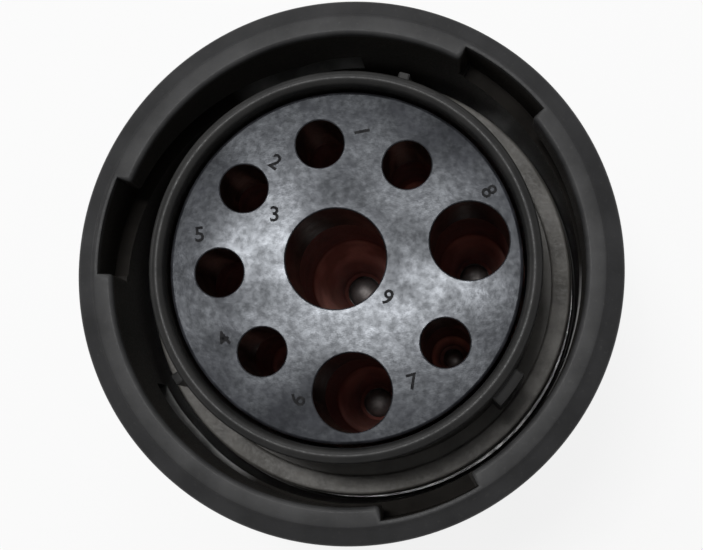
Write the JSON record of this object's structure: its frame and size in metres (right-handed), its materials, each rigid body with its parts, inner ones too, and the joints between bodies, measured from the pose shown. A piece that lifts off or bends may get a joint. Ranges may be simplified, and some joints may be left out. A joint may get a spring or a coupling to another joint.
{
  "type": "trailer wiring connector",
  "caption": "Round bayonet-coupled trailer wiring plug: keyed metal barrel, turning coupling ring, recessed pin contacts in a sealed insert, rear nut.",
  "frame": {"origin": "centre of the rear plane, on the plug's axis, where the rear nut stands on a surface", "axes": "+Z along the plug's axis in the mating direction, out of the barrel; with the plug seen from its mating side and its main key at the lower right, +X is to the right and +Y is up"},
  "size_m": [0.0485, 0.0484, 0.048],
  "materials": {
    "shell_metal": "dark grey hard anodised, satin",
    "ring_metal": "dark grey hard anodised, satin, worn bright on edges",
    "nut_metal": "dark grey hard anodised, satin",
    "washer_steel": "bright stainless",
    "spring_steel": "spring steel",
    "gasket_rubber": "grey fluorosilicone",
    "insert_plastic": "grey filled thermoset with a mottled sheen",
    "seal_silicone": "brick red silicone",
    "plate_plastic": "glass-filled nylon",
    "clip_bronze": "spring bronze",
    "contact_plating": "nickel plated copper alloy, satin",
    "o_ring_rubber": "black nitrile"
  },
  "bodies": {
    "plug_body": {"shell": "shell_metal", "wave_spring": "spring_steel", "retaining_clip": "spring_steel", "flange_gasket": "gasket_rubber", "front_insert": "insert_plastic", "cavity_seal": "seal_silicone", "throat_seal": "seal_silicone", "retention_plate": "plate_plastic", "retention_clips": "clip_bronze", "rear_grommet": "seal_silicone", "grommet_follower": "washer_steel", "end_nut": "nut_metal", "tail_o_ring": "o_ring_rubber", "contact_main": "contact_plating", "contact_power_1": "contact_plating", "contact_power_2": "contact_plating", "contact_signal_1": "contact_plating", "contact_signal_2": "contact_plating", "contact_signal_3": "contact_plating", "contact_signal_4": "contact_plating", "contact_signal_5": "contact_plating", "contact_signal_6": "contact_plating"},
    "ring_carrier": {"thrust_washer": "washer_steel"},
    "ring_body": {"coupling_ring": "ring_metal"}
  },
  "joints": [
    {"name": "ring_float", "type": "slide", "parent": "plug_body", "child": "ring_carrier", "axis": [0, 0, 1], "range_m": [0, 0.0008], "stiffness_N_per_m": 2000, "springref_m": -0.0005, "deforming": ["wave_spring"]},
    {"name": "ring_turn", "type": "hinge", "parent": "ring_carrier", "child": "ring_body", "pos_m": [0, 0, 0.0263], "axis": [0, 0, 1], "range_deg": [0, 80]}
  ]
}
